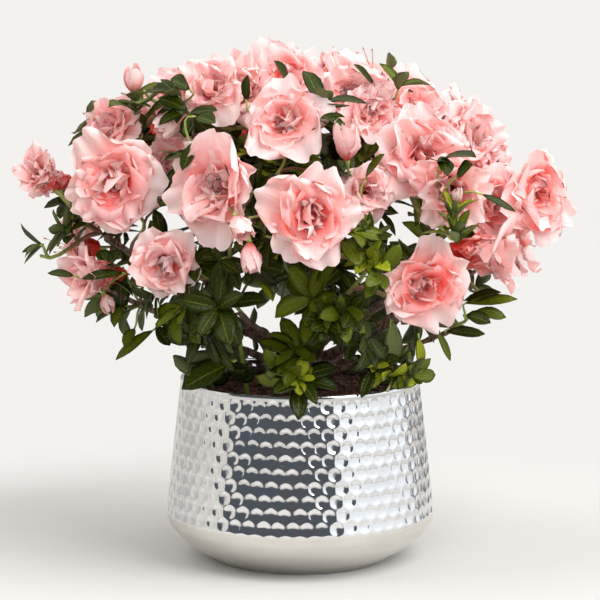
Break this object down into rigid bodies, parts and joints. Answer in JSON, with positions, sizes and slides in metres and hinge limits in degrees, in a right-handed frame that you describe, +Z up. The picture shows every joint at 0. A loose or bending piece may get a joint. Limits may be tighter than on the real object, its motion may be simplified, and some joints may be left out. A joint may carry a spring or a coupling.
{
  "type": "potted azalea shrub",
  "caption": "Double-flowered azalea shrub: a dome of ruffled salmon-pink blooms over glossy dark leaves on woody boughs, in a round hammered-metal planter.",
  "frame": {"origin": "centre of the planter's flat underside, on the surface it stands on", "axes": "+Z up through the planter; -Y is the side the plant is viewed from, +X to that viewer's right"},
  "size_m": [0.3944, 0.346, 0.3663],
  "materials": {
    "planter_metal": "polished",
    "potting_mix": "matte",
    "bark": "matte",
    "green_stem": "satin",
    "foliage": "satin",
    "blossom": "satin"
  },
  "bodies": {
    "root": {"blooms_back_high_1": "blossom", "blooms_back_high_2": "blossom", "blooms_back_high_3": "blossom", "blooms_back_high_4": "blossom", "blooms_back_low_1": "blossom", "blooms_back_low_2": "blossom", "blooms_back_low_3": "blossom", "blooms_back_top_1": "blossom", "blooms_back_top_2": "blossom", "blooms_centre_front": "blossom", "blooms_crown_top": "blossom", "blooms_far_left": "blossom", "blooms_far_right": "blossom", "blooms_front_left": "blossom", "blooms_front_upper": "blossom", "blooms_left_front": "blossom", "blooms_left_upper": "blossom", "blooms_low_far_left": "blossom", "blooms_low_left": "blossom", "blooms_low_right": "blossom", "blooms_low_right_outer": "blossom", "blooms_right_front": "blossom", "blooms_right_top": "blossom", "blooms_right_upper": "blossom", "blooms_top_left": "blossom", "blooms_top_right": "blossom", "bough_back": "bark", "bough_back_left": "bark", "bough_back_right": "bark", "bough_front_left": "bark", "bough_front_right": "bark", "bough_leader": "bark", "bough_left": "bark", "bough_left_low": "bark", "bough_right": "bark", "bough_right_low": "bark", "bough_right_upper": "bark", "bud_shoot_left": "blossom", "green_shoot": "green_stem", "leaf_tip_left": "foliage", "leaves_back_1": "foliage", "leaves_back_2": "foliage", "leaves_back_3": "foliage", "leaves_back_rim_1": "foliage", "leaves_back_rim_2": "foliage", "leaves_centre_right": "foliage", "leaves_front_left": "foliage", "leaves_front_right": "foliage", "leaves_heart": "foliage", "leaves_left": "foliage", "leaves_left_low": "foliage", "leaves_right_tip": "foliage", "leaves_rim_front": "foliage", "leaves_rim_left": "foliage", "leaves_rim_right": "foliage", "leaves_side_tip_1": "foliage", "leaves_side_tip_2": "foliage", "main_stem": "bark", "planter": "planter_metal", "potting_mix": "potting_mix"}
  },
  "joints": []
}
